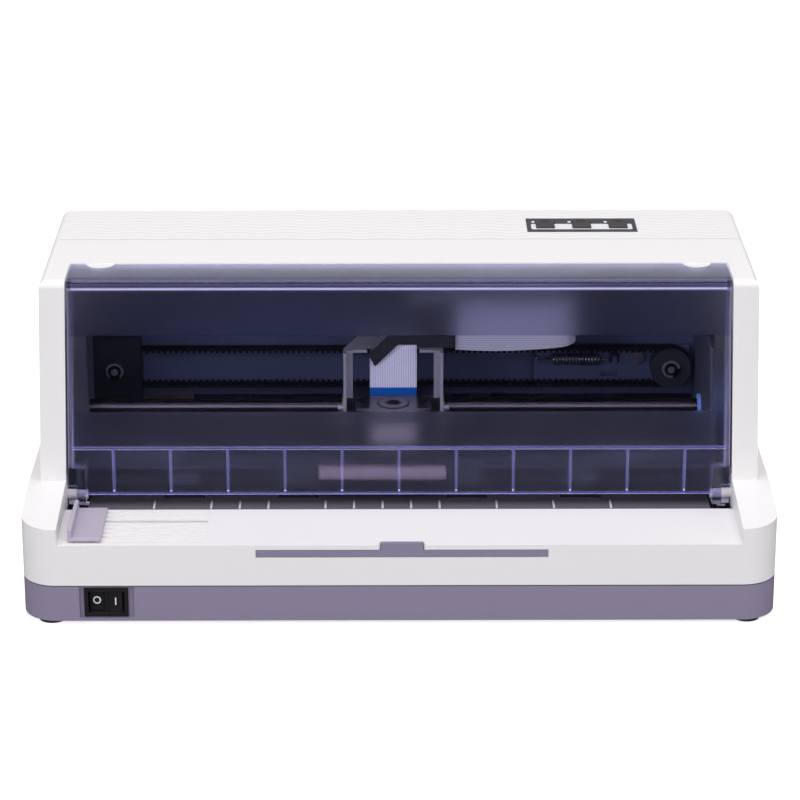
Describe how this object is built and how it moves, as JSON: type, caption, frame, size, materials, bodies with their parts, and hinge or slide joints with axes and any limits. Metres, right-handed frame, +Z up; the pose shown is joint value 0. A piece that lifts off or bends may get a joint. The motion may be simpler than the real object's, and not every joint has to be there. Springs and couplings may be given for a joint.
{
  "type": "dot matrix printer",
  "caption": "Flat-bed dot matrix printer with a front paper tray, hinged smoked cover, travelling print head, feed rollers and rear tractors.",
  "frame": {"origin": "centre of the footprint, on the table under the rubber feet", "axes": "+X to the right seen from the front, +Y from the front face to the rear wall, +Z up"},
  "size_m": [0.36, 0.27, 0.1573],
  "materials": {
    "white_abs": "fine satin",
    "grey_abs": "fine matt",
    "guide_plastic": "matt",
    "smoked_plastic": "smoked, partly frosted",
    "foot_rubber": "matt",
    "zinc_steel": "zinc plated",
    "painted_steel": "dark blue-grey paint",
    "bright_steel": "polished",
    "black_plastic": "fine matt",
    "dark_plastic": "satin",
    "blue_plastic": "satin",
    "circuit_board": "solder mask",
    "roller_rubber": "ground",
    "bronze": "sintered",
    "cable_film": "film",
    "gear_plastic": "moulded",
    "belt_rubber": "matt",
    "pinion_brass": "turned"
  },
  "bodies": {
    "casing": {"lower_case": "grey_abs", "upper_case": "white_abs", "rubber_feet": "foot_rubber", "case_screws": "zinc_steel", "cover_hinge_pins": "white_abs", "control_panel": "black_plastic", "panel_board": "circuit_board", "switch_body": "black_plastic", "ac_inlet": "black_plastic", "main_board": "circuit_board", "interface_ports": "zinc_steel", "power_supply": "circuit_board", "base_frame": "zinc_steel", "side_frame_left": "zinc_steel", "side_frame_right": "zinc_steel", "rear_chassis_plate": "painted_steel", "chassis_screws": "zinc_steel", "platen": "bright_steel", "lower_paper_guide": "guide_plastic", "upper_paper_guide": "zinc_steel", "cross_rails": "zinc_steel", "motor_bracket": "black_plastic", "carriage_motor": "painted_steel", "idler_bracket": "painted_steel", "idler_shaft": "bright_steel", "tension_spring": "bright_steel", "timing_belt": "belt_rubber", "feed_motor": "painted_steel", "cable_loop": "cable_film"},
    "front_cover": {"front_cover": "smoked_plastic"},
    "rear_cover": {"rear_cover": "white_abs"},
    "button_left": {"button_left": "dark_plastic"},
    "button_middle": {"button_middle": "dark_plastic"},
    "button_right": {"button_right": "dark_plastic"},
    "sheet_guide": {"sheet_guide": "guide_plastic"},
    "paper_extension": {"paper_extension": "guide_plastic"},
    "switch_rocker": {"switch_rocker": "black_plastic"},
    "gap_adjuster": {"guide_rod": "bright_steel", "gap_lever": "blue_plastic"},
    "carriage": {"carriage_body": "dark_plastic", "carriage_bushes": "bronze", "carriage_bracket": "zinc_steel", "print_head": "black_plastic", "head_plate": "bright_steel", "head_cable": "cable_film", "cable_clip": "black_plastic"},
    "drive_pulley": {"drive_pulley": "bright_steel"},
    "idler_pulley": {"idler_pulley": "black_plastic"},
    "front_feed": {"front_feed_shaft": "bright_steel", "front_rollers": "roller_rubber"},
    "rear_feed": {"rear_feed_shaft": "bright_steel", "rear_rollers": "roller_rubber"},
    "front_pinch": {"front_pinch_rollers": "dark_plastic"},
    "rear_pinch": {"rear_pinch_rollers": "dark_plastic"},
    "idler_gear": {"idler_gear": "gear_plastic"},
    "transfer_gear": {"transfer_gear": "gear_plastic"},
    "motor_pinion": {"motor_pinion": "pinion_brass"},
    "tractor_shaft": {"tractor_shaft": "bright_steel"},
    "tractor_left": {"tractor_left": "dark_plastic"},
    "tractor_right": {"tractor_right": "dark_plastic"}
  },
  "joints": [
    {"name": "front_cover_hinge", "type": "hinge", "parent": "casing", "child": "front_cover", "pos_m": [0, -0.079, 0.045], "axis": [1, 0, 0], "range_deg": [0, 60]},
    {"name": "rear_cover_hinge", "type": "hinge", "parent": "casing", "child": "rear_cover", "pos_m": [0, 0.03729, 0.1397], "axis": [1, 0, 0], "range_deg": [0, 65]},
    {"name": "button_left_press", "type": "slide", "parent": "casing", "child": "button_left", "axis": [0, 0, -1], "range_m": [0, 0.0008], "stiffness_N_per_m": 600},
    {"name": "button_middle_press", "type": "slide", "parent": "casing", "child": "button_middle", "axis": [0, 0, -1], "range_m": [0, 0.0008], "stiffness_N_per_m": 600},
    {"name": "button_right_press", "type": "slide", "parent": "casing", "child": "button_right", "axis": [0, 0, -1], "range_m": [0, 0.0008], "stiffness_N_per_m": 600},
    {"name": "sheet_guide_slide", "type": "slide", "parent": "casing", "child": "sheet_guide", "axis": [1, 0, 0], "range_m": [0, 0.048]},
    {"name": "paper_extension_slide", "type": "slide", "parent": "casing", "child": "paper_extension", "axis": [0, -1, 0], "range_m": [0, 0.042]},
    {"name": "switch_rock", "type": "hinge", "parent": "casing", "child": "switch_rocker", "pos_m": [-0.1395, -0.132, 0.0117], "axis": [0, 0, 1], "range_deg": [0, 20]},
    {"name": "gap_lever_turn", "type": "hinge", "parent": "casing", "child": "gap_adjuster", "pos_m": [0, -0.015, 0.067], "axis": [1, 0, 0], "range_deg": [0, 25]},
    {"name": "carriage_slide", "type": "slide", "parent": "casing", "child": "carriage", "axis": [1, 0, 0], "range_m": [-0.095, 0.095], "deforming": ["cable_loop"]},
    {"name": "drive_pulley_turn", "type": "hinge", "parent": "casing", "child": "drive_pulley", "pos_m": [-0.1452, 0.0146, 0.078], "axis": [0, 1, 0], "range_deg": [-572, 572]},
    {"name": "idler_pulley_turn", "type": "hinge", "parent": "casing", "child": "idler_pulley", "pos_m": [0.1399, 0.0146, 0.078], "axis": [0, 1, 0], "range_deg": [-572, 572]},
    {"name": "rear_feed_turn", "type": "hinge", "parent": "casing", "child": "rear_feed", "pos_m": [0, -0.005, 0.0336], "axis": [1, 0, 0], "continuous": true},
    {"name": "front_feed_turn", "type": "hinge", "parent": "casing", "child": "front_feed", "pos_m": [0, -0.065, 0.0336], "axis": [1, 0, 0], "continuous": true},
    {"name": "front_pinch_turn", "type": "hinge", "parent": "casing", "child": "front_pinch", "pos_m": [0, -0.065, 0.0469], "axis": [1, 0, 0], "continuous": true},
    {"name": "rear_pinch_turn", "type": "hinge", "parent": "casing", "child": "rear_pinch", "pos_m": [0, -0.005, 0.0469], "axis": [1, 0, 0], "continuous": true},
    {"name": "idler_gear_turn", "type": "hinge", "parent": "casing", "child": "idler_gear", "pos_m": [0.158, -0.035, 0.0336], "axis": [1, 0, 0], "continuous": true},
    {"name": "transfer_gear_turn", "type": "hinge", "parent": "casing", "child": "transfer_gear", "pos_m": [0.158, 0.0275, 0.0336], "axis": [1, 0, 0], "continuous": true},
    {"name": "motor_pinion_turn", "type": "hinge", "parent": "casing", "child": "motor_pinion", "pos_m": [0.158, 0.04597, 0.05724], "axis": [1, 0, 0], "continuous": true},
    {"name": "tractor_shaft_turn", "type": "hinge", "parent": "casing", "child": "tractor_shaft", "pos_m": [0, 0.06, 0.0336], "axis": [1, 0, 0], "continuous": true},
    {"name": "tractor_left_slide", "type": "slide", "parent": "casing", "child": "tractor_left", "axis": [1, 0, 0], "range_m": [0, 0.05]},
    {"name": "tractor_right_slide", "type": "slide", "parent": "casing", "child": "tractor_right", "axis": [-1, 0, 0], "range_m": [0, 0.05]}
  ],
  "couplings": [
    {"joint": "drive_pulley_turn", "follows": "carriage_slide", "rad_per_m": -104.72},
    {"joint": "idler_pulley_turn", "follows": "carriage_slide", "rad_per_m": -104.72},
    {"joint": "front_feed_turn", "follows": "rear_feed_turn", "ratio": 1},
    {"joint": "front_pinch_turn", "follows": "rear_feed_turn", "ratio": -1.6},
    {"joint": "rear_pinch_turn", "follows": "rear_feed_turn", "ratio": -1.6},
    {"joint": "idler_gear_turn", "follows": "rear_feed_turn", "ratio": -0.5},
    {"joint": "transfer_gear_turn", "follows": "rear_feed_turn", "ratio": -0.44444},
    {"joint": "motor_pinion_turn", "follows": "rear_feed_turn", "ratio": 1.3333},
    {"joint": "tractor_shaft_turn", "follows": "rear_feed_turn", "ratio": 1}
  ]
}
